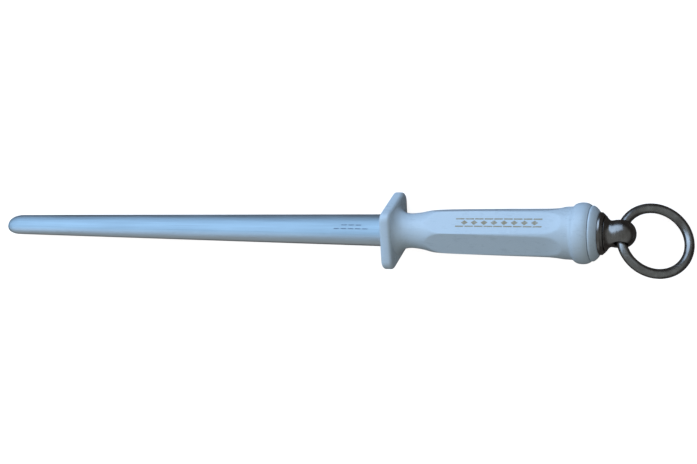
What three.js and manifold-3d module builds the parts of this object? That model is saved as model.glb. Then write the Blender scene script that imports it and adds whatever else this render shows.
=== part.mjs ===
// Knife sharpening steel: a tapered oval rod in a white plastic handle with a diamond-shaped finger
// guard, and a free ring in a swivelling eye at the handle's end.
//
// Frame: millimetres, +X along the tool's axis towards the rod's tip, +Z up. The steel lies on one
// of the guard's four flat sides, and the origin is the point of that flat straight below the
// tool's axis. Every piece below is built around the X axis and then raised to the tool's axis.

import * as THREE from 'three';
import { mergeVertices } from 'three/addons/utils/BufferGeometryUtils.js';
import Module from 'manifold-3d';

const wasm = await Module();
wasm.setup();

// Driving dimensions.
const GAP = 0.3;                    // clearance between pieces that touch on the real tool
const GUARD_THICKNESS = 7.2;
const GUARD_CORE_WIDE = 20.4;       // half diagonals of the diamond that the corner circles sit on
const GUARD_CORE_NARROW = 14.5;
const GUARD_CORNER_RADIUS = 6;
const GUARD_EDGE_RADIUS = 2.2;
const FLAT_ROLL = Math.atan2(GUARD_CORE_NARROW, GUARD_CORE_WIDE);   // brings a flat side down
const AXIS_HEIGHT = GUARD_CORE_WIDE * Math.sin(FLAT_ROLL) + GUARD_CORNER_RADIUS;

const ROD_TIP_X = 303.6;            // rod's tip, ahead of the guard's middle
const ROD_BASE_WIDTH = 22.2;        // oval section at the guard, and where the tip's rounding starts
const ROD_TIP_WIDTH = 15;
const ROD_FLATNESS = 0.5;           // thickness over width
const ROD_NOSE_LENGTH = 12;

const TANG_WIDTH = 11;              // flat tang through the neck, then a threaded end
const TANG_THICKNESS = 6;
const TANG_FLAT_END_X = -65;
const TANG_END_X = -106.5;
const THREAD_RADIUS = 4;

const NECK_RADIUS = 11;             // thinnest part of the grip, just behind the guard
const BEAD_RADIUS = 18.54;          // thickest part, at the grip's rear end
const BEAD_X = -121.2;
const GRIP_END_X = -126.25;
const CAVITY_RADIUS = 11;           // open pocket in the grip's rear, for the nut and the swivel
const CAVITY_FLOOR_X = -92;

const CAP_END_X = -131.1;           // rounded end cap that closes the pocket
const CAP_RADIUS = 16.7;
const CAP_PLUG_LENGTH = 9.5;
const CAP_BORE_RADIUS = 7.8;

const FERRULE_RADIUS = 12.8;        // stepped steel flange at the handle's end
const FERRULE_END_X = -134.4;
const SHANK_RADIUS = 3.7;           // swivel shank, which turns in the bush
const SHANK_END_X = -110;
const BUSH_WALL = 1.3;

const BALL_X = -144;                // drilled ball at the end of the swivel
const BALL_RADIUS = 8.65;
const EYE_NECK_RADIUS = 7.95;
const EYE_HOLE_RADIUS = 4.1;
const EYE_MOUTH = 6.4;              // where the hole starts to open towards the ball's surface

const RING_RADIUS = 20.8;           // carrying ring, to the middle of its wire
const RING_WIRE_RADIUS = 2.95;
const RING_REACH = 20.5;            // ball centre to ring centre
const RING_SWING = THREE.MathUtils.degToRad(26.6);

const ROUND = 40;                   // facets around a turned piece

// Geometry helpers.

function solid(geometry) {
  const bare = geometry.clone();
  bare.deleteAttribute('normal');
  bare.deleteAttribute('uv');
  const merged = mergeVertices(bare, 1e-4);
  return new wasm.Manifold(new wasm.Mesh({
    numProp: 3,
    vertProperties: new Float32Array(merged.attributes.position.array),
    triVerts: new Uint32Array(merged.index.array),
  }));
}

function geometryOf(manifold) {
  const mesh = manifold.getMesh();
  const geometry = new THREE.BufferGeometry();
  geometry.setAttribute('position', new THREE.BufferAttribute(mesh.vertProperties, 3));
  geometry.setIndex(new THREE.BufferAttribute(mesh.triVerts, 1));
  geometry.computeVertexNormals();
  return geometry;
}

// Turns an outline of [x, radius] points around the X axis. The outline runs towards +X on the
// outside. It starts and ends on the axis, or comes back to its first point around a bore.
function turned(outline, segments = ROUND) {
  const points = outline.map(([x, radius]) => new THREE.Vector2(radius, x));
  return new THREE.LatheGeometry(points, segments).rotateZ(-Math.PI / 2);
}

// A plain tube or disc from x0 to x1, with a bore when inner is over 0.
function tube(x0, x1, outer, inner = 0, segments = ROUND) {
  const outline = inner > 0
    ? [[x0, inner], [x0, outer], [x1, outer], [x1, inner], [x0, inner]]
    : [[x0, 0], [x0, outer], [x1, outer], [x1, 0]];
  return turned(outline, segments);
}

// A bar of oval section along X, its wide side turned by the roll of the rod's flat.
function oval(outline, segments = ROUND) {
  return turned(outline, segments).scale(1, 1, ROD_FLATNESS).rotateX(FLAT_ROLL);
}

// A rectangular bar from x0 to x1, rolled with the rod.
function flatBar(x0, x1, width, thickness) {
  return new THREE.BoxGeometry(x1 - x0, width, thickness)
    .translate((x0 + x1) / 2, 0, 0)
    .rotateX(FLAT_ROLL);
}

// Extrudes a shape drawn in the YZ plane along X, from x0 to x1.
function plate(shape, x0, x1, bevel = 0) {
  return new THREE.ExtrudeGeometry(shape, {
    depth: x1 - x0 - 2 * bevel,
    bevelEnabled: bevel > 0,
    bevelThickness: bevel,
    bevelSize: bevel,
    bevelSegments: 4,
    curveSegments: 8,
  }).translate(0, 0, bevel).rotateY(Math.PI / 2).translate(x0, 0, 0);
}

// A diamond with round corners: a circle of the corner's radius on each end of both diagonals.
function roundedDiamond(wide, narrow, corner) {
  const slope = Math.atan2(narrow, wide);
  const shape = new THREE.Shape();
  shape.absarc(narrow, 0, corner, -slope, slope, false);
  shape.absarc(0, wide, corner, slope, Math.PI - slope, false);
  shape.absarc(-narrow, 0, corner, Math.PI - slope, Math.PI + slope, false);
  shape.absarc(0, -wide, corner, Math.PI + slope, 2 * Math.PI - slope, false);
  return shape;
}

// A flat ring with a slot through one side, as a spring washer or a shaft clip has.
function splitRing(x0, x1, outer, inner, slotAngle) {
  const shape = new THREE.Shape();
  shape.absarc(0, 0, outer, slotAngle / 2, 2 * Math.PI - slotAngle / 2, false);
  shape.absarc(0, 0, inner, 2 * Math.PI - slotAngle / 2, slotAngle / 2, true);
  shape.closePath();
  return new THREE.ExtrudeGeometry(shape, {
    depth: x1 - x0, bevelEnabled: false, curveSegments: 28,
  }).rotateY(Math.PI / 2).translate(x0, 0, 0);
}

// The rod and its tang.

const SHOULDER_X = -GUARD_THICKNESS / 2 + GAP;

function rodOutline() {
  const noseRadius = ROD_TIP_WIDTH / 2;
  const noseX = ROD_TIP_X - ROD_NOSE_LENGTH;
  const outline = [[SHOULDER_X, 0], [SHOULDER_X, ROD_BASE_WIDTH / 2], [noseX, noseRadius]];
  const steps = 7;
  for (let step = 1; step <= steps; step += 1) {
    const turn = step / steps * Math.PI / 2;
    const radius = step === steps ? 0 : noseRadius * Math.cos(turn) ** 0.8;
    outline.push([noseX + ROD_NOSE_LENGTH * Math.sin(turn), radius]);
  }
  return outline;
}

function sharpeningRod() {
  const tang = flatBar(TANG_FLAT_END_X, SHOULDER_X + 2, TANG_WIDTH, TANG_THICKNESS);
  const thread = turned([
    [TANG_END_X, 0], [TANG_END_X, THREAD_RADIUS - 0.8], [TANG_END_X + 0.8, THREAD_RADIUS],
    [TANG_FLAT_END_X + 2, THREAD_RADIUS], [TANG_FLAT_END_X + 2, 0],
  ], 32);
  return geometryOf(solid(oval(rodOutline())).add(solid(tang)).add(solid(thread)));
}

// The handle.

function guardPlate() {
  const half = GUARD_THICKNESS / 2;
  const outline = roundedDiamond(
    GUARD_CORE_WIDE, GUARD_CORE_NARROW, GUARD_CORNER_RADIUS - GUARD_EDGE_RADIUS,
  );
  const body = solid(plate(outline, -half, half, GUARD_EDGE_RADIUS).rotateX(FLAT_ROLL));
  const holeRadius = ROD_BASE_WIDTH / 2 + GAP;
  const hole = oval([[-half - 1, 0], [-half - 1, holeRadius], [half + 1, holeRadius], [half + 1, 0]]);
  return geometryOf(body.subtract(solid(hole)));
}

// The grip is a turned body cut down to six flats, which run out in arcs at both ends.
function gripBody() {
  const frontX = -GUARD_THICKNESS / 2 - GAP;
  const round = turned([
    [GRIP_END_X, 0], [GRIP_END_X, 16.9], [GRIP_END_X + 0.95, 17.6], [BEAD_X - 3, 18.1],
    [BEAD_X - 1.7, 18.42], [BEAD_X, BEAD_RADIUS], [BEAD_X + 1.8, 18.4], [BEAD_X + 3.1, 18.05],
    [BEAD_X + 4.1, 17.55], [BEAD_X + 4.7, 17.05], [BEAD_X + 5.2, 16.55], [BEAD_X + 5.9, 16.15],
    [BEAD_X + 8.7, 15.95], [BEAD_X + 14.1, 15.85], [-65, 15.65], [-43, 15.55],
    [-37.3, 15.35], [-32.8, 14.85], [-28.8, 14.1], [-24.9, 13], [-21.4, 12.1], [-17.3, 11.4],
    [-12.4, NECK_RADIUS], [-9.6, NECK_RADIUS + 0.2], [-7.8, NECK_RADIUS + 0.7],
    [-6.4, NECK_RADIUS + 1.4], [-5.3, NECK_RADIUS + 2.2], [-4.5, NECK_RADIUS + 3.2],
    [frontX, NECK_RADIUS + 4.2], [frontX, 0],
  ]);
  const clear = BEAD_RADIUS + 5;    // where the flats have left the turned body behind
  const flats = [
    [GRIP_END_X - 1, clear], [BEAD_X + 7.4, clear], [BEAD_X + 8.6, 17.6], [BEAD_X + 10, 16.3],
    [BEAD_X + 11.9, 15.45], [BEAD_X + 14.3, 14.85], [BEAD_X + 16.7, 14.5], [BEAD_X + 20.4, 14.2],
    [-69.6, 13.75], [-30.5, 13], [-13, 12.4], [-11.5, clear], [frontX + 1, clear],
  ];
  const corner = 1 / Math.cos(Math.PI / 6);
  const outline = flats.map(([x, apothem]) => [x, apothem * corner]);
  const hexagon = turned([[outline[0][0], 0], ...outline, [outline.at(-1)[0], 0]], 6);
  hexagon.rotateX(FLAT_ROLL + Math.PI / 6);   // brings a flat, not an edge, to the roll
  return solid(round).intersect(solid(hexagon));
}

function handleGrip() {
  const slot = flatBar(TANG_FLAT_END_X - GAP - 1, 0, TANG_WIDTH + 2 * GAP, TANG_THICKNESS + 2 * GAP);
  const bore = tube(CAVITY_FLOOR_X - 1, TANG_FLAT_END_X + 3, THREAD_RADIUS + 0.5, 0, 32);
  const pocket = tube(GRIP_END_X - 1, CAVITY_FLOOR_X, CAVITY_RADIUS);
  return geometryOf(gripBody().subtract(solid(slot)).subtract(solid(bore)).subtract(solid(pocket)));
}

function endCap() {
  const frontX = GRIP_END_X - GAP;
  const plugX = frontX + CAP_PLUG_LENGTH;
  const plugRadius = CAVITY_RADIUS - GAP;
  return turned([
    [CAP_END_X, CAP_BORE_RADIUS], [CAP_END_X, 13.1], [CAP_END_X + 0.55, 13.95],
    [CAP_END_X + 1.3, 14.95], [CAP_END_X + 2.4, 16], [CAP_END_X + 3.5, CAP_RADIUS],
    [frontX, CAP_RADIUS - 0.1], [frontX, plugRadius], [plugX, plugRadius],
    [plugX, CAP_BORE_RADIUS], [CAP_END_X, CAP_BORE_RADIUS],
  ]);
}

// The nut that draws the rod's shoulder and the handle together, hidden in the grip's pocket.

const WASHER_X = CAVITY_FLOOR_X - GAP;
const LOCK_WASHER_X = WASHER_X - 1.6 - GAP;
const NUT_X = LOCK_WASHER_X - 1.8 - GAP;
const NUT_HEIGHT = 6.5;
const NUT_FLATS = 13;

function tangWasher() {
  return tube(WASHER_X - 1.6, WASHER_X, 8.5, THREAD_RADIUS + 0.4, 32);
}

function tangLockWasher() {
  return splitRing(LOCK_WASHER_X - 1.8, LOCK_WASHER_X, 7.4, THREAD_RADIUS + 0.4, 0.22);
}

function tangNut() {
  const cornerRadius = NUT_FLATS / 2 / Math.cos(Math.PI / 6);
  const body = tube(NUT_X - NUT_HEIGHT, NUT_X, cornerRadius, 0, 6);
  const chamfer = turned([
    [NUT_X - NUT_HEIGHT, 0], [NUT_X - NUT_HEIGHT, 6.4], [NUT_X - NUT_HEIGHT + 0.9, 7.7],
    [NUT_X - 0.9, 7.7], [NUT_X, 6.4], [NUT_X, 0],
  ], 32);
  const bore = tube(NUT_X - NUT_HEIGHT - 1, NUT_X + 1, THREAD_RADIUS + 0.35, 0, 32);
  return geometryOf(solid(body).intersect(solid(chamfer)).subtract(solid(bore)));
}

// The swivel: a fixed ferrule and bush, and the eye that turns in them.

const FERRULE_FRONT_X = CAP_END_X - GAP;
const SLEEVE_END_X = GRIP_END_X - GAP + CAP_PLUG_LENGTH + GAP;
const BUSH_RADIUS = SHANK_RADIUS + GAP + BUSH_WALL;
const BUSH_FLANGE_X = SLEEVE_END_X + GAP;
const BUSH_FLANGE = 1.2;

function endFerrule() {
  const bore = BUSH_RADIUS + GAP;
  const sleeve = CAP_BORE_RADIUS - GAP;
  return turned([
    [FERRULE_END_X, bore], [FERRULE_END_X, 11.35], [FERRULE_END_X + 1, 12.2],
    [FERRULE_END_X + 1.6, FERRULE_RADIUS], [FERRULE_FRONT_X, FERRULE_RADIUS],
    [FERRULE_FRONT_X, sleeve], [SLEEVE_END_X, sleeve], [SLEEVE_END_X, bore], [FERRULE_END_X, bore],
  ]);
}

function swivelBush() {
  const bore = SHANK_RADIUS + GAP;
  const backX = FERRULE_END_X + 0.2;
  const flangeEnd = BUSH_FLANGE_X + BUSH_FLANGE;
  return turned([
    [backX, bore], [backX, BUSH_RADIUS], [BUSH_FLANGE_X, BUSH_RADIUS], [BUSH_FLANGE_X, 7.2],
    [flangeEnd, 7.2], [flangeEnd, bore], [backX, bore],
  ], 32);
}

const SWIVEL_WASHER_X = BUSH_FLANGE_X + BUSH_FLANGE + GAP;
const SWIVEL_WASHER = 1;
const CLIP_X = SWIVEL_WASHER_X + SWIVEL_WASHER + GAP;
const CLIP_THICKNESS = 0.9;
const CLIP_GROOVE_RADIUS = 2.8;

function swivelEye() {
  const footX = FERRULE_END_X - GAP;
  const rounded = [];
  const steps = 10;
  for (let step = 0; step < steps; step += 1) {
    const turn = step / steps * Math.PI / 2;
    rounded.unshift([BALL_X - BALL_RADIUS * Math.sin(turn), BALL_RADIUS * Math.cos(turn)]);
  }
  const grooveX = CLIP_X - 0.2;
  const grooveEnd = CLIP_X + CLIP_THICKNESS + 0.2;
  const body = solid(turned([
    [BALL_X - BALL_RADIUS, 0], ...rounded, [BALL_X + 1.9, 8.55], [BALL_X + 3.6, 8.3],
    [BALL_X + 4.8, 8.05], [BALL_X + 5.9, EYE_NECK_RADIUS], [BALL_X + 6.8, 8.2],
    [BALL_X + 7.5, 8.8], [BALL_X + 8.3, 9.65], [footX - 0.35, 10.6], [footX, 10.9],
    [footX, SHANK_RADIUS], [grooveX, SHANK_RADIUS], [grooveX, CLIP_GROOVE_RADIUS],
    [grooveEnd, CLIP_GROOVE_RADIUS], [grooveEnd, SHANK_RADIUS],
    [SHANK_END_X - 0.6, SHANK_RADIUS], [SHANK_END_X, SHANK_RADIUS - 0.6], [SHANK_END_X, 0],
  ], 32));
  const reach = BALL_RADIUS + 1;
  const mouthRadius = EYE_HOLE_RADIUS + reach - EYE_MOUTH;
  const drill = turned([
    [-reach, 0], [-reach, mouthRadius], [-EYE_MOUTH, EYE_HOLE_RADIUS],
    [EYE_MOUTH, EYE_HOLE_RADIUS], [reach, mouthRadius], [reach, 0],
  ], 32).rotateZ(Math.PI / 2).rotateX(FLAT_ROLL).translate(BALL_X, 0, 0);
  return geometryOf(body.subtract(solid(drill)));
}

function swivelWasher() {
  return tube(SWIVEL_WASHER_X, SWIVEL_WASHER_X + SWIVEL_WASHER, 7.2, SHANK_RADIUS + GAP, 32);
}

function swivelClip() {
  return splitRing(CLIP_X, CLIP_X + CLIP_THICKNESS, 6.1, CLIP_GROOVE_RADIUS + GAP, 1.5);
}

// The ring's plane holds the eye's hole, and it hangs down a little from the tool's axis.
function carryRing() {
  return new THREE.TorusGeometry(RING_RADIUS, RING_WIRE_RADIUS, 12, 52)
    .translate(-RING_REACH, 0, 0)
    .rotateY(-RING_SWING)
    .rotateX(FLAT_ROLL)
    .translate(BALL_X, 0, 0);
}

// Assembly.

const WHITE_PLASTIC = { color: 0xdfe8ee, roughness: 0.45, metalness: 0 };
const SATIN_STEEL = { color: 0xb4bcc4, roughness: 0.35, metalness: 1 };
const TARNISHED_STEEL = { color: 0x75797d, roughness: 0.4, metalness: 1 };
const PLATED_STEEL = { color: 0x9a9c98, roughness: 0.45, metalness: 1 };
const BRASS = { color: 0xb08d4a, roughness: 0.4, metalness: 1 };

const steel = new THREE.Group();
steel.position.z = AXIS_HEIGHT;

function piece(name, geometry, look) {
  const mesh = new THREE.Mesh(geometry, new THREE.MeshStandardMaterial(look));
  mesh.name = name;
  steel.add(mesh);
}

piece('sharpening_rod', sharpeningRod(), SATIN_STEEL);
piece('guard_plate', guardPlate(), WHITE_PLASTIC);
piece('handle_grip', handleGrip(), WHITE_PLASTIC);
piece('end_cap', endCap(), WHITE_PLASTIC);
piece('tang_washer', tangWasher(), PLATED_STEEL);
piece('tang_lock_washer', tangLockWasher(), PLATED_STEEL);
piece('tang_nut', tangNut(), PLATED_STEEL);
piece('end_ferrule', endFerrule(), TARNISHED_STEEL);
piece('swivel_bush', swivelBush(), BRASS);
piece('swivel_eye', swivelEye(), TARNISHED_STEEL);
piece('swivel_washer', swivelWasher(), PLATED_STEEL);
piece('swivel_clip', swivelClip(), PLATED_STEEL);
piece('carry_ring', carryRing(), TARNISHED_STEEL);

export default new THREE.Group().add(steel);
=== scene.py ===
"""Looks of the knife sharpening steel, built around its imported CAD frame.

Lengths in the tables below are in millimetres along the tool's axis, which runs parallel to X.
Every piece is made around that axis and then moved up to it and scaled to metres.
"""

import math

import bmesh
import bpy
from mathutils import Matrix, Vector


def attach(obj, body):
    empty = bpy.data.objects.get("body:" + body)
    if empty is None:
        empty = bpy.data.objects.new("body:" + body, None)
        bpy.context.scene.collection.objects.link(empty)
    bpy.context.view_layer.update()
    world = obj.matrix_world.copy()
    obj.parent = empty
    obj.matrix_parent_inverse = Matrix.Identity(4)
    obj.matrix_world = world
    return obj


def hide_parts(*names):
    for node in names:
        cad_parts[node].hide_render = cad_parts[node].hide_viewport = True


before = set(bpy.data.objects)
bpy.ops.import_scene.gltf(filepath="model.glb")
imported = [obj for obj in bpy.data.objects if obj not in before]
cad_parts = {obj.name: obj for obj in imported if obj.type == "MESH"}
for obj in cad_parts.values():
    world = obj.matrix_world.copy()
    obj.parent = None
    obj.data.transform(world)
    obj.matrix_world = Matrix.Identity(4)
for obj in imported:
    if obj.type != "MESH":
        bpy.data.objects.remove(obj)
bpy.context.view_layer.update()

MM = 0.001

GUARD_THICKNESS = 7.2
GUARD_CORE = (20.4, 14.5)        # half diagonals of the diamond that the corner circles sit on
GUARD_CORNER = 6
GUARD_EDGE = 2.2
HOLE_RADIUS = 11.4

ROLL = math.atan2(GUARD_CORE[1], GUARD_CORE[0])
AXIS_HEIGHT = GUARD_CORE[0] * math.sin(ROLL) + GUARD_CORNER
TO_ROW_FRAME = Matrix.Scale(MM, 4) @ Matrix.Translation((0, 0, AXIS_HEIGHT))
ACROSS = Vector((0, math.cos(ROLL), math.sin(ROLL)))     # the rod's wide direction
FACING = Vector((0, -math.sin(ROLL), math.cos(ROLL)))    # square to its flat side

ROD_BACK_X = -3.3
ROD_BASE_RADIUS = 11.1
ROD_NOSE_RADIUS = 7.5
ROD_NOSE_X = 291.6
ROD_NOSE_LENGTH = 12
ROD_FLATNESS = 0.5
TANG_SIZE = (11, 6)
TANG_FLAT_END_X = -63
TANG_END_X = -106.5
THREAD_RADIUS = 4
THREAD_DEPTH = 0.6
THREAD_PITCH = 1.25
PLAIN_SHANK_LENGTH = 4           # between the flat tang and the thread

GRIP_END_X = -126.25
GRIP_ROUND = [
    (-126.25, 16.9), (-125.3, 17.6), (-124.2, 18.1), (-122.9, 18.42), (-121.2, 18.54),
    (-119.4, 18.4), (-118.1, 18.05), (-117.1, 17.55), (-116.5, 17.05), (-116, 16.55),
    (-115.3, 16.15), (-112.5, 15.95), (-107.1, 15.85), (-65, 15.65), (-43, 15.55),
    (-37.3, 15.35), (-32.8, 14.85), (-28.8, 14.1), (-24.9, 13), (-21.4, 12.1),
    (-17.3, 11.4), (-12.4, 11), (-9.6, 11.2), (-7.8, 11.65), (-6.4, 12.25), (-5.3, 13),
    (-4.5, 13.9), (-4, 14.7), (-3.7, 15.3), (-3.62, 15.6),
]
GRIP_FLATS = [
    (-127.3, 23.5), (-113.8, 23.5), (-112.6, 17.6), (-111.2, 16.3), (-109.3, 15.45),
    (-106.9, 14.85), (-104.5, 14.5), (-100.8, 14.2), (-69.6, 13.75), (-30.5, 13), (-13, 12.4),
    (-11.5, 23.5), (0, 23.5),
]
EDGE_SHARPNESS = 140
SLOT_SIZE = (11.6, 6.6)
SLOT_END_X = -66.3
BORE_RADIUS = 4.5
POCKET_X = -92
POCKET_RADIUS = 11

CAP_ROUND = [
    (-131.1, 13.1), (-130.55, 13.95), (-129.8, 14.95), (-128.7, 16), (-127.6, 16.7),
    (-126.55, 16.6),
]
CAP_INSIDE = [(-126.55, 10.7), (-117.05, 10.7), (-117.05, 7.8), (-131.1, 7.8)]

FERRULE = [
    (-134.4, 5.6), (-134.4, 11.35), (-133.4, 12.2), (-132.8, 12.8), (-131.4, 12.8),
    (-131.4, 7.5), (-116.75, 7.5), (-116.75, 5.6),
]

BALL_X = -144
BALL_RADIUS = 8.65
EYE_NECK = [
    (1.9, 8.55), (3.6, 8.3), (4.8, 8.05), (5.9, 7.95), (6.8, 8.2), (7.5, 8.8), (8.3, 9.65),
    (8.91, 10.6), (9.26, 10.9),
]
EYE_SHANK = [
    (-134.7, 3.7), (-113.85, 3.7), (-113.85, 2.8), (-112.55, 2.8), (-112.55, 3.7),
    (-110.6, 3.7), (-110, 3.1), (-110, 0),
]
EYE_HOLE_RADIUS = 4.1
EYE_MOUTH = 6.4

RING_RADIUS = 20.8
RING_WIRE = 2.95
RING_REACH = 20.5
RING_SWING = math.radians(26.6)

ROUND = 128


# Curves and sections.

def slopes_of(points):
    """The slope at each point of a curve that never overshoots its points."""
    rises = [(b[1] - a[1]) / (b[0] - a[0]) for a, b in zip(points, points[1:])]
    slopes = [rises[0]]
    for left, right in zip(rises, rises[1:]):
        slopes.append(2 * left * right / (left + right) if left * right > 0 else 0.0)
    return slopes + [rises[-1]]


def curve_through(points):
    """A function of x that runs smoothly through the points."""
    slopes = slopes_of(points)

    def value(x):
        last = len(points) - 2
        i = max(0, min(last, sum(x >= p[0] for p in points) - 1))
        (x0, y0), (x1, y1) = points[i], points[i + 1]
        width = x1 - x0
        t = min(1.0, max(0.0, (x - x0) / width))
        return (
            y0 * (1 + 2 * t) * (1 - t) ** 2
            + slopes[i] * width * t * (1 - t) ** 2
            + y1 * t * t * (3 - 2 * t)
            + slopes[i + 1] * width * t * t * (t - 1)
        )

    return value


def spread(start, end, count):
    """count steps from start to end, with both ends."""
    return [start + (end - start) * i / count for i in range(count + 1)]


def smooth_outline(points, steps=4):
    """More points on the smooth line through an outline, for a rounded form."""
    out = []
    padded = [points[0], *points, points[-1]]
    for a, b, c, d in zip(padded, padded[1:], padded[2:], padded[3:]):
        for i in range(steps):
            t = i / steps
            out.append(tuple(
                0.5 * (2 * q + (r - p) * t + (2 * p - 5 * q + 4 * r - s) * t * t
                       + (3 * q - p - 3 * r + s) * t ** 3)
                for p, q, r, s in zip(a, b, c, d)
            ))
    return out + [points[-1]]


def round_section(x, radius, count=ROUND):
    """Points of a circle around the axis, or of any outline whose radius varies with the turn."""
    section = []
    for i in range(count):
        turn = 2 * math.pi * i / count
        r = radius(turn) if callable(radius) else radius
        section.append(Vector((x, 0, 0)) + (ACROSS * math.cos(turn) + FACING * math.sin(turn)) * r)
    return section


def oval_section(x, radius, count=ROUND):
    section = []
    for i in range(count):
        turn = 2 * math.pi * i / count
        section.append(
            Vector((x, 0, 0))
            + ACROSS * math.cos(turn) * radius
            + FACING * math.sin(turn) * radius * ROD_FLATNESS
        )
    return section


def bar_section(x, size, count=ROUND):
    """A rectangle, sampled by the direction of each of its points."""
    wide, thick = size[0] / 2, size[1] / 2
    section = []
    for i in range(count):
        turn = 2 * math.pi * i / count
        c, s = math.cos(turn), math.sin(turn)
        reach = min(wide / max(abs(c), 1e-9), thick / max(abs(s), 1e-9))
        section.append(Vector((x, 0, 0)) + (ACROSS * c + FACING * s) * reach)
    return section


# Mesh making.

def finish_mesh(bm, name, body, material, stands_for, sharp=32, bevel=0.0):
    """Turns a bmesh in millimetres into a finished piece on its body."""
    bmesh.ops.remove_doubles(bm, verts=bm.verts, dist=1e-4)
    bmesh.ops.recalc_face_normals(bm, faces=bm.faces)
    mesh = bpy.data.meshes.new(name)
    bm.to_mesh(mesh)
    bm.free()
    mesh.transform(TO_ROW_FRAME)
    mesh.polygons.foreach_set("use_smooth", [True] * len(mesh.polygons))
    mesh.set_sharp_from_angle(angle=math.radians(sharp))
    mesh.materials.append(material)
    piece = bpy.data.objects.new(name, mesh)
    bpy.context.scene.collection.objects.link(piece)
    if bevel > 0:
        modifier = piece.modifiers.new("worn_edges", "BEVEL")
        modifier.width = bevel * MM
        modifier.segments = 3
        modifier.limit_method = "ANGLE"
        modifier.angle_limit = math.radians(sharp)
        modifier.harden_normals = True
    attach(piece, body)
    if stands_for:
        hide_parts(stands_for)
    return piece


def loft(sections, closed=False):
    """Skins a list of equal sections. closed joins the last to the first, around a bore;
    otherwise both ends are filled."""
    bm = bmesh.new()
    rings = [[bm.verts.new(p) for p in section] for section in sections]
    pairs = list(zip(rings, rings[1:]))
    if closed:
        pairs.append((rings[-1], rings[0]))
    for a, b in pairs:
        for i in range(len(a)):
            j = (i + 1) % len(a)
            bm.faces.new((a[i], a[j], b[j], b[i]))
    if not closed:
        bm.faces.new(rings[0])
        bm.faces.new(reversed(rings[-1]))
    return bm


def turned(outline, count=ROUND, closed=True):
    return loft([round_section(x, r, count) for x, r in outline], closed)


# Materials. Each is a node tree on the Principled shader, in object coordinates.

class Look:
    """A material under construction."""

    def __init__(self, name, **constants):
        self.material = bpy.data.materials.new(name)
        self.material.use_nodes = True
        self.tree = self.material.node_tree
        self.shader = self.tree.nodes["Principled BSDF"]
        self.coords = self.tree.nodes.new("ShaderNodeTexCoord")
        for socket, value in constants.items():
            self.shader.inputs[socket.replace("_", " ")].default_value = value

    def link(self, out, socket):
        self.tree.links.new(out, self.shader.inputs[socket])

    def mapped(self, scale, turn=0.0):
        node = self.tree.nodes.new("ShaderNodeMapping")
        node.inputs["Scale"].default_value = scale
        node.inputs["Rotation"].default_value = (turn, 0, 0)
        self.tree.links.new(self.coords.outputs["Object"], node.inputs["Vector"])
        return node.outputs["Vector"]

    def noise(self, scale, detail=4.0, roughness=0.55, turn=0.0):
        """Noise with its own scale along each axis, in cells per metre."""
        node = self.tree.nodes.new("ShaderNodeTexNoise")
        node.inputs["Scale"].default_value = 1.0
        node.inputs["Detail"].default_value = detail
        node.inputs["Roughness"].default_value = roughness
        self.tree.links.new(self.mapped(scale, turn), node.inputs["Vector"])
        return node.outputs["Fac"]

    def math(self, operation, first, second, third=0.0):
        node = self.tree.nodes.new("ShaderNodeMath")
        node.operation = operation
        for socket, value in zip(node.inputs, (first, second, third)):
            if isinstance(value, bpy.types.NodeSocket):
                self.tree.links.new(value, socket)
            else:
                socket.default_value = value
        return node.outputs["Value"]

    def across_rod(self):
        """Where a point lies across the tapered rod, from 0 at its upper edge to 1 at the lower."""
        split = self.tree.nodes.new("ShaderNodeSeparateXYZ")
        self.tree.links.new(self.coords.outputs["Object"], split.inputs["Vector"])
        level = self.math("MULTIPLY", split.outputs["Y"], ACROSS.y)
        above_axis = self.math("SUBTRACT", split.outputs["Z"], AXIS_HEIGHT * MM)
        rise = self.math("MULTIPLY", above_axis, ACROSS.z)
        taper = (ROD_NOSE_RADIUS - ROD_BASE_RADIUS) / (ROD_NOSE_X - ROD_BACK_X)
        width_at_guard = 2 * MM * (ROD_BASE_RADIUS - ROD_BACK_X * taper)
        width = self.math("MULTIPLY_ADD", split.outputs["X"], 2 * taper, width_at_guard)
        share = self.math("DIVIDE", self.math("ADD", level, rise), width)
        return self.math("ADD", share, 0.5)

    def ramp(self, value, stops):
        """A colour, or a grey level, for each value."""
        node = self.tree.nodes.new("ShaderNodeValToRGB")
        elements = node.color_ramp.elements
        while len(elements) < len(stops):
            elements.new(0.5)
        for element, (place, colour) in zip(elements, stops):
            element.position = place
            if not isinstance(colour, tuple):
                colour = (colour,) * 3
            element.color = (*colour, 1)
        self.tree.links.new(value, node.inputs["Fac"])
        return node.outputs["Color"]

    def mix(self, first, second, share, blend="MIX"):
        node = self.tree.nodes.new("ShaderNodeMix")
        node.data_type = "RGBA"
        node.blend_type = blend
        for place, value in ((0, share), (6, first), (7, second)):
            socket = node.inputs[place]
            if isinstance(value, bpy.types.NodeSocket):
                self.tree.links.new(value, socket)
            else:
                socket.default_value = (*value, 1) if isinstance(value, tuple) else value
        return node.outputs[2]

    def bump(self, height, distance, strength=1.0, under=None):
        node = self.tree.nodes.new("ShaderNodeBump")
        node.inputs["Distance"].default_value = distance
        node.inputs["Strength"].default_value = strength
        self.tree.links.new(height, node.inputs["Height"])
        if under is not None:
            self.tree.links.new(under, node.inputs["Normal"])
        return node.outputs["Normal"]


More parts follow.
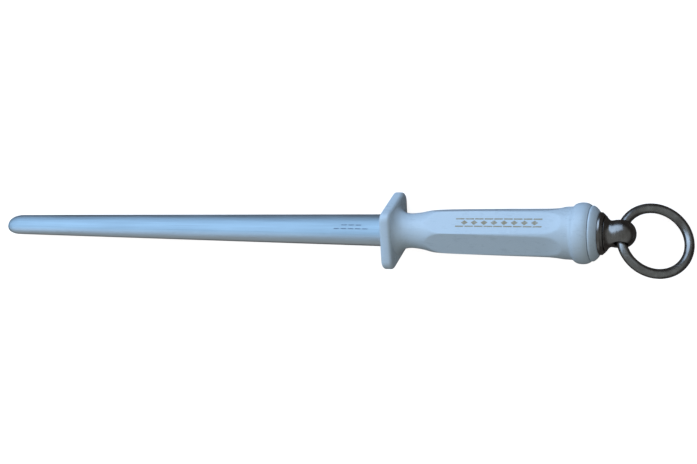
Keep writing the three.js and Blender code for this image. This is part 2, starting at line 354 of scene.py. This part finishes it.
def rod_steel():
    """Satin steel with fine lengthwise lines, and a painted sheen: its base colour is made brighter
    along the rod's two edges.
    """
    look = Look("rod_steel", Metallic=1.0)
    lines = look.noise((9, 2600, 2600), 3, 0.6)
    streaks = look.noise((14, 420, 420), 4, 0.6)
    clouds = look.noise((22, 60, 60), 3, 0.5)
    base = look.ramp(lines, [(0.3, (0.36, 0.43, 0.47)), (0.7, (0.45, 0.54, 0.58))])
    base = look.mix(base, look.ramp(streaks, [(0.35, 0.80), (0.65, 1.0)]), 0.7, "MULTIPLY")
    # Painted sheen: the base colour turns lighter towards the rod's upper and lower edges, standing
    # in for light reflected there.
    wear_and_painted_sheen = look.ramp(look.across_rod(), [
        (0.0, 0.9), (0.16, 0.25), (0.3, 0.0), (0.72, 0.0), (0.86, 0.5), (1.0, 1.0),
    ])
    base = look.mix(base, (0.80, 0.80, 0.80), wear_and_painted_sheen)
    look.link(base, "Base Color")
    rough = look.ramp(look.mix(streaks, clouds, 0.5), [(0.3, 0.42), (0.7, 0.56)])
    look.link(rough, "Roughness")
    wide = look.bump(streaks, 0.00002, 0.5)
    look.link(look.bump(lines, 0.00002, 0.7, wide), "Normal")
    return look.material


def dark_steel(name, light, dark, stretch):
    """Tarnished satin steel: blotches, fine scratches and rubbed patches."""
    look = Look(name, Metallic=1.0)
    blotches = look.noise((90, 90, 90), 5, 0.6)
    scratches = look.noise(stretch, 3, 0.7)
    grains = look.noise((1500, 1500, 1500), 2, 0.5)
    base = look.ramp(blotches, [(0.32, dark), (0.68, light)])
    base = look.mix(base, look.ramp(scratches, [(0.4, 0.72), (0.62, 1.0)]), 0.6, "MULTIPLY")
    look.link(base, "Base Color")
    rough = look.ramp(look.mix(blotches, scratches, 0.5), [(0.3, 0.20), (0.7, 0.34)])
    look.link(rough, "Roughness")
    fine = look.bump(grains, 0.00002, 0.35)
    look.link(look.bump(scratches, 0.00002, 0.5, fine), "Normal")
    return look.material


def turned_metal(name, light, dark, lines):
    """Zinc plate or brass, with the fine rings left by turning."""
    look = Look(name, Metallic=1.0)
    rings = look.noise((lines, 40, 40), 2, 0.6)
    clouds = look.noise((160, 160, 160), 4, 0.6)
    look.link(look.ramp(clouds, [(0.3, dark), (0.7, light)]), "Base Color")
    look.link(look.ramp(rings, [(0.3, 0.30), (0.7, 0.50)]), "Roughness")
    look.link(look.bump(rings, 0.00002, 0.5), "Normal")
    return look.material


def white_plastic():
    """Moulded white plastic, slightly uneven, with faint handling marks and fine scuffs."""
    look = Look("white_plastic", IOR=1.49, Specular_IOR_Level=0.5)
    clouds = look.noise((45, 45, 45), 4, 0.55)
    smudges = look.noise((160, 260, 260), 5, 0.65)
    scuffs = look.noise((120, 2200, 2200), 3, 0.7)
    grain = look.noise((2600, 2600, 2600), 2, 0.5)
    base = look.ramp(clouds, [(0.3, PLASTIC_SHADE), (0.7, PLASTIC)])
    base = look.mix(base, look.ramp(smudges, [(0.28, 0.90), (0.46, 1.0)]), 0.5, "MULTIPLY")
    base = look.mix(base, look.ramp(scuffs, [(0.25, 0.90), (0.40, 1.0)]), 0.4, "MULTIPLY")
    look.link(base, "Base Color")
    rough = look.ramp(look.mix(smudges, scuffs, 0.4), [(0.3, 0.22), (0.7, 0.38)])
    look.link(rough, "Roughness")
    fine = look.bump(grain, 0.00002, 0.25)
    look.link(look.bump(smudges, 0.00008, 0.25, fine), "Normal")
    return look.material


def ink(name, colour, wear_and_painted_sheen):
    """Printed or etched marking, a little uneven."""
    look = Look(name, IOR=1.45)
    wear = look.noise((500, 500, 500), 4, 0.7)
    look.link(look.ramp(wear, [(0.35, wear_and_painted_sheen), (0.55, colour)]), "Base Color")
    look.link(look.ramp(wear, [(0.3, 0.55), (0.7, 0.40)]), "Roughness")
    look.link(look.bump(wear, 0.00001, 0.4), "Normal")
    return look.material


PLASTIC = (0.80, 0.86, 0.90)
PLASTIC_SHADE = (0.76, 0.83, 0.88)

plastic = white_plastic()
rod_look = rod_steel()
end_look = dark_steel("dark_steel", (0.42, 0.38, 0.35), (0.22, 0.19, 0.17), (700, 90, 90))
ring_look = dark_steel("ring_steel", (0.48, 0.45, 0.42), (0.27, 0.24, 0.22), (300, 300, 900))
zinc = turned_metal("zinc_steel", (0.64, 0.64, 0.61), (0.50, 0.50, 0.49), 2400)
brass = turned_metal("bush_brass", (0.71, 0.56, 0.29), (0.55, 0.42, 0.20), 1800)
print_ink = ink("bronze_print", (0.46, 0.36, 0.22), (0.58, 0.52, 0.42))
etch_ink = ink("etched_mark", (0.17, 0.21, 0.28), (0.27, 0.32, 0.40))


# The camera has the photograph's viewing angle: it looks down on the steel from a little
# to the -Y side and from the handle's end, so that the handle is nearer than the tip.

IMAGE_WIDTH, IMAGE_HEIGHT = 697, 464
FOCAL_PIXELS = 1200.0
SENSOR = 36.0
SIDE_LEAN = math.radians(-11.5)
END_LEAN = math.radians(23)
CAMERA_TWIST = math.radians(0.96)
AIM = Vector((31.67, 0, AXIS_HEIGHT)) * MM
AIM_ABOVE_MIDDLE = 2.4
DISTANCE = 0.7788


def make_camera():
    above = Vector((0, math.sin(SIDE_LEAN), math.cos(SIDE_LEAN)))
    up = Vector((0, -math.cos(SIDE_LEAN), math.sin(SIDE_LEAN)))
    right = Vector((-1, 0, 0))
    back = above * math.cos(END_LEAN) + right * math.sin(END_LEAN)
    right = right * math.cos(END_LEAN) - above * math.sin(END_LEAN)
    right, up = (
        right * math.cos(CAMERA_TWIST) + up * math.sin(CAMERA_TWIST),
        up * math.cos(CAMERA_TWIST) - right * math.sin(CAMERA_TWIST),
    )
    place = AIM + back * DISTANCE - up * (AIM_ABOVE_MIDDLE / FOCAL_PIXELS * DISTANCE)
    data = bpy.data.cameras.new("camera")
    data.sensor_width = SENSOR
    data.lens = FOCAL_PIXELS * SENSOR / IMAGE_WIDTH
    data.clip_start = 0.01
    data.clip_end = 20
    camera = bpy.data.objects.new("camera", data)
    camera.matrix_world = Matrix.Translation(place) @ Matrix((right, up, back)).transposed().to_4x4()
    bpy.context.scene.collection.objects.link(camera)
    bpy.context.scene.camera = camera


make_camera()


# The floor meets the rod's tip and the guard's front edge, as under a steel laid on a table.

FLOOR_REST_X = 1.4
FLOOR_RISE = math.atan2(12.5, 290)
FLOOR_SIZE = 3.0
FLOOR_GLOW = (0.82, 0.79, 0.77)


def make_floor():
    look = Look("floor", Roughness=0.9, Specular_IOR_Level=0.1)
    clouds = look.noise((5, 5, 5), 3, 0.5)
    base = look.ramp(clouds, [(0.3, (0.90, 0.88, 0.86)), (0.7, (0.93, 0.91, 0.89))])
    look.link(base, "Base Color")
    look.shader.inputs["Emission Color"].default_value = (*FLOOR_GLOW, 1)
    look.shader.inputs["Emission Strength"].default_value = 1.0
    bm = bmesh.new()
    bmesh.ops.create_grid(bm, x_segments=8, y_segments=8, size=FLOOR_SIZE / 2)
    mesh = bpy.data.meshes.new("floor")
    bm.to_mesh(mesh)
    bm.free()
    mesh.materials.append(look.material)
    floor = bpy.data.objects.new("floor", mesh)
    floor.matrix_world = (
        Matrix.Translation((FLOOR_REST_X * MM, 0, -0.0001)) @ Matrix.Rotation(-FLOOR_RISE, 4, "Y")
    )
    floor.visible_diffuse = False
    floor.visible_glossy = False
    bpy.context.scene.collection.objects.link(floor)


make_floor()


# Soft studio light: one wide cool box on the -Y side, towards the rod's tip, and a dim surround.

def soft_box(name, place, aim, size, watts, colour):
    data = bpy.data.lights.new(name, "AREA")
    data.shape = "RECTANGLE"
    data.size, data.size_y = size
    data.energy = watts
    data.color = colour
    lamp = bpy.data.objects.new(name, data)
    lamp.location = place
    lamp.rotation_euler = (Vector(aim) - Vector(place)).to_track_quat("-Z", "Y").to_euler()
    bpy.context.scene.collection.objects.link(lamp)


def surround(above, below, strength):
    world = bpy.data.worlds.new("surround")
    world.use_nodes = True
    tree = world.node_tree
    coords = tree.nodes.new("ShaderNodeTexCoord")
    split = tree.nodes.new("ShaderNodeSeparateXYZ")
    ramp = tree.nodes.new("ShaderNodeValToRGB")
    ramp.color_ramp.elements[0].position = 0.0
    ramp.color_ramp.elements[0].color = (*below, 1)
    ramp.color_ramp.elements[1].position = 0.35
    ramp.color_ramp.elements[1].color = (*above, 1)
    tree.links.new(coords.outputs["Generated"], split.inputs["Vector"])
    tree.links.new(split.outputs["Z"], ramp.inputs["Fac"])
    background = tree.nodes["Background"]
    background.inputs["Strength"].default_value = strength
    tree.links.new(ramp.outputs["Color"], background.inputs["Color"])
    bpy.context.scene.world = world


soft_box("key", (0.75, -1.08, 0.75), (0.05, 0, 0.02), (3.0, 1.5), 29, (0.44, 0.67, 1.0))
surround((0.27, 0.31, 0.33), (0.06, 0.06, 0.06), 1.0)
bpy.context.scene.view_settings.view_transform = "Standard"


# The rod and its tang.

def rod_radius(x):
    return ROD_BASE_RADIUS + (ROD_NOSE_RADIUS - ROD_BASE_RADIUS) * (
        (x - ROD_BACK_X) / (ROD_NOSE_X - ROD_BACK_X)
    )


def thread_section(x):
    def radius(turn):
        phase = (x / THREAD_PITCH + turn / (2 * math.pi)) % 1
        return THREAD_RADIUS - THREAD_DEPTH * abs(2 * phase - 1)
    return round_section(x, radius)


def make_rod():
    sections = []
    for turn in spread(math.radians(88), 0, 24):
        x = ROD_NOSE_X + ROD_NOSE_LENGTH * math.sin(turn)
        sections.append(oval_section(x, ROD_NOSE_RADIUS * math.cos(turn) ** 0.8))
    sections += [oval_section(x, rod_radius(x)) for x in spread(ROD_NOSE_X, ROD_BACK_X, 60)[1:]]
    sections += [bar_section(ROD_BACK_X, TANG_SIZE), bar_section(TANG_FLAT_END_X, TANG_SIZE)]
    sections.append(round_section(TANG_FLAT_END_X, THREAD_RADIUS))
    sections.append(round_section(TANG_FLAT_END_X - PLAIN_SHANK_LENGTH, THREAD_RADIUS))
    turns = spread(TANG_FLAT_END_X - PLAIN_SHANK_LENGTH - 0.6, TANG_END_X + 0.8, 190)
    sections += [thread_section(x) for x in turns]
    sections.append(round_section(TANG_END_X, THREAD_RADIUS - 0.9))
    finish_mesh(loft(sections), "steel_rod", "handle", rod_look, "sharpening_rod")


make_rod()


# The handle: guard, grip and end cap.

def rounded_diamond():
    """Points around the guard's outline, and which way each one faces."""
    wide, narrow = GUARD_CORE
    corners = [
        (FACING * narrow, -ROLL, ROLL), (ACROSS * wide, ROLL, math.pi - ROLL),
        (FACING * -narrow, math.pi - ROLL, math.pi + ROLL),
        (ACROSS * -wide, math.pi + ROLL, 2 * math.pi - ROLL),
    ]
    points = []
    for (centre, start, end), (following, *_) in zip(corners, corners[1:] + corners[:1]):
        for turn in spread(start, end, 16):
            facing = FACING * math.cos(turn) + ACROSS * math.sin(turn)
            points.append((centre + facing * GUARD_CORNER, facing))
        for step in spread(0, 1, 14)[1:-1]:
            points.append((centre.lerp(following, step) + facing * GUARD_CORNER, facing))
    return points


def make_guard():
    outline = rounded_diamond()
    half = GUARD_THICKNESS / 2
    sections = []

    def rim(x, inset):
        sections.append([p - facing * inset + Vector((x, 0, 0)) for p, facing in outline])

    def hole(x, growth):
        section = []
        for p, _ in outline:
            turn = math.atan2(p.dot(FACING), p.dot(ACROSS))
            c, s = math.cos(turn), math.sin(turn) / ROD_FLATNESS
            reach = HOLE_RADIUS / math.hypot(c, s) + growth
            section.append(Vector((x, 0, 0)) + p.normalized() * reach)
        sections.append(section)

    rim(-half, GUARD_EDGE + 1)
    for turn in (step for step in spread(-90, 90, 12) if step):
        angle = math.radians(turn)
        x = math.copysign(half - GUARD_EDGE, turn) + GUARD_EDGE * math.sin(angle)
        rim(x, GUARD_EDGE * (1 - math.cos(angle)))
    rim(half, GUARD_EDGE + 1)
    hole(half, 0.5)
    hole(half - 0.15, 0.15)
    hole(half - 0.5, 0)
    hole(-half + 0.5, 0)
    hole(-half + 0.15, 0.15)
    hole(-half, 0.5)
    bm = loft(sections, closed=True)
    finish_mesh(bm, "finger_guard", "handle", plastic, "guard_plate", 50)


def grip_section(x, round_radius, flat_apothem):
    def radius(turn):
        # Turns are measured from ACROSS, so the facets' middles are at 30, 90, 150 degrees and on.
        from_facet = (turn - math.pi / 2 + math.pi / 6) % (math.pi / 3) - math.pi / 6
        flat = flat_apothem(x) / math.cos(from_facet)
        both = round_radius(x) ** -EDGE_SHARPNESS + flat ** -EDGE_SHARPNESS
        return both ** (-1 / EDGE_SHARPNESS)
    return round_section(x, radius, 240)


def make_grip():
    round_radius = curve_through(GRIP_ROUND)
    flat_apothem = curve_through(GRIP_FLATS)
    front = GRIP_ROUND[-1][0]
    stations = spread(GRIP_END_X, -90, 60) + spread(-90, -36, 30)[1:] + spread(-36, front, 70)[1:]
    sections = [grip_section(x, round_radius, flat_apothem) for x in stations]
    sections.append(bar_section(front, SLOT_SIZE, 240))
    sections.append(bar_section(SLOT_END_X, SLOT_SIZE, 240))
    sections.append(round_section(SLOT_END_X, BORE_RADIUS, 240))
    sections.append(round_section(POCKET_X, BORE_RADIUS, 240))
    sections.append(round_section(POCKET_X, POCKET_RADIUS, 240))
    sections.append(round_section(GRIP_END_X, POCKET_RADIUS, 240))
    bm = loft(sections, closed=True)
    finish_mesh(bm, "moulded_grip", "handle", plastic, "handle_grip", 40)


def make_cap():
    outline = [*smooth_outline(CAP_ROUND, 5), *CAP_INSIDE]
    finish_mesh(turned(outline), "moulded_cap", "handle", plastic, "end_cap", 40, 0.12)


make_guard()
make_grip()
make_cap()


# Markings: plain bars and lozenges.

PRINT_START_X = -44.9
LOZENGE_START_X = -50.5
LOZENGE_PITCH = 6.3
LOZENGE_SIZE = (4.4, 3.1)
PRINT_BAR_PITCH = 6.1
PRINT_BAR_LENGTH = 5.4
PRINT_BAR_OFFSET = 2.5           # from the row's middle to each line of bars
MARK_LIFT = 0.05

def raised_mark(bm, outline, surface):
    """One thin closed plate whose outline, as (along, across) points, is laid on a surface."""
    tops = [bm.verts.new(surface(along, across, MARK_LIFT)) for along, across in outline]
    bottoms = [bm.verts.new(surface(along, across, -MARK_LIFT)) for along, across in outline]
    bm.faces.new(tops)
    bm.faces.new(reversed(bottoms))
    for i in range(len(tops)):
        j = (i + 1) % len(tops)
        bm.faces.new((tops[j], tops[i], bottoms[i], bottoms[j]))


def bar(x0, x1, y0, y1):
    return [(x0, y0), (x1, y0), (x1, y1), (x0, y1)]


def lozenge(x, y, length, height):
    return [(x - length / 2, y), (x, y - height / 2), (x + length / 2, y), (x, y + height / 2)]


def make_print():
    flat_apothem = curve_through(GRIP_FLATS)

    def facet(along, across, lift):
        return Vector((along, 0, 0)) + ACROSS * across + FACING * (flat_apothem(along) + lift)

    bm = bmesh.new()
    for step in range(8):
        raised_mark(bm, lozenge(LOZENGE_START_X - step * LOZENGE_PITCH, 0, *LOZENGE_SIZE), facet)
    for side in (-1, 1):
        for step in range(9):
            x = PRINT_START_X - step * PRINT_BAR_PITCH
            y = side * PRINT_BAR_OFFSET
            raised_mark(bm, bar(x - PRINT_BAR_LENGTH, x, y - 0.4, y + 0.4), facet)
    finish_mesh(bm, "grip_marking", "handle", print_ink, None)


def make_etch():
    def flat_side(along, across, lift):
        wide = rod_radius(along)
        height = wide * ROD_FLATNESS * math.sqrt(1 - (across / wide) ** 2)
        return Vector((along, 0, 0)) + ACROSS * across + FACING * (height + lift)

    bm = bmesh.new()
    for row, (start, count) in enumerate(((16, 5), (21, 3))):
        for step in range(count):
            x = start + step * 5
            raised_mark(bm, bar(x, x + 3.8, 1.4 - row * 2.6, 2 - row * 2.6), flat_side)
    finish_mesh(bm, "rod_marking", "handle", etch_ink, None)


make_print()
make_etch()


# The swivel and its ring.

def make_ferrule():
    bm = turned(FERRULE)
    finish_mesh(bm, "stepped_ferrule", "handle", end_look, "end_ferrule", 30, 0.22)


def make_eye():
    """A turned body with a drilled ball: cut with a boolean, then its edges are softened."""
    ball = [
        (BALL_X - BALL_RADIUS * math.cos(turn), BALL_RADIUS * math.sin(turn))
        for turn in spread(0, math.pi / 2, 40)
    ]
    neck = smooth_outline([(BALL_X + x, r) for x, r in EYE_NECK], 5)
    outline = [(x, max(r, 0.001)) for x, r in ball + neck + EYE_SHANK]
    eye = finish_mesh(
        turned(outline, 160, closed=False), "ball_eye", "swivel", end_look, "swivel_eye"
    )
    reach = BALL_RADIUS + 1
    mouth = EYE_HOLE_RADIUS + reach - EYE_MOUTH
    drill = [
        (-reach, mouth), (-EYE_MOUTH, EYE_HOLE_RADIUS), (EYE_MOUTH, EYE_HOLE_RADIUS), (reach, mouth),
    ]
    bm = turned(drill, 96, closed=False)
    bmesh.ops.rotate(bm, verts=bm.verts, matrix=Matrix.Rotation(math.pi / 2, 3, "Z"))
    bmesh.ops.rotate(bm, verts=bm.verts, matrix=Matrix.Rotation(ROLL, 3, "X"))
    bmesh.ops.translate(bm, verts=bm.verts, vec=(BALL_X, 0, 0))
    cutter = finish_mesh(bm, "eye_drill", "swivel", end_look, None)
    modifier = eye.modifiers.new("hole", "BOOLEAN")
    modifier.operation = "DIFFERENCE"
    modifier.solver = "EXACT"
    modifier.object = cutter
    modifier = eye.modifiers.new("even", "REMESH")
    modifier.mode = "VOXEL"
    modifier.voxel_size = 0.22 * MM
    modifier.use_smooth_shade = True
    modifier = eye.modifiers.new("soften", "SMOOTH")
    modifier.factor = 0.5
    modifier.iterations = 6
    bpy.context.view_layer.update()
    made = bpy.data.meshes.new_from_object(eye.evaluated_get(bpy.context.evaluated_depsgraph_get()))
    eye.modifiers.clear()
    eye.data = made
    made.polygons.foreach_set("use_smooth", [True] * len(made.polygons))
    bpy.data.objects.remove(cutter)


def make_ring():
    place = (
        Matrix.Translation((BALL_X, 0, 0)) @ Matrix.Rotation(ROLL, 4, "X")
        @ Matrix.Rotation(-RING_SWING, 4, "Y") @ Matrix.Translation((-RING_REACH, 0, 0))
    )
    sections = []
    for i in range(200):
        along = 2 * math.pi * i / 200
        out = Vector((math.cos(along), math.sin(along), 0))
        section = []
        for j in range(40):
            around = 2 * math.pi * j / 40
            point = out * (RING_RADIUS + RING_WIRE * math.cos(around))
            section.append(place @ (point + Vector((0, 0, RING_WIRE * math.sin(around)))))
        sections.append(section)
    bm = loft(sections, closed=True)
    finish_mesh(bm, "wire_ring", "ring", ring_look, "carry_ring")


make_ferrule()
make_eye()
make_ring()


# The small pieces inside keep their CAD shapes.

for node, look, slot_name in (
    ("tang_washer", zinc, "zinc_steel"),
    ("tang_lock_washer", zinc, "zinc_steel"),
    ("tang_nut", zinc, "zinc_steel"),
    ("swivel_washer", zinc, "zinc_steel"),
    ("swivel_clip", zinc, "zinc_steel"),
    ("swivel_bush", brass, "bush_brass"),
):
    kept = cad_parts[node]
    kept.data.materials.clear()
    kept.data.materials.append(look)
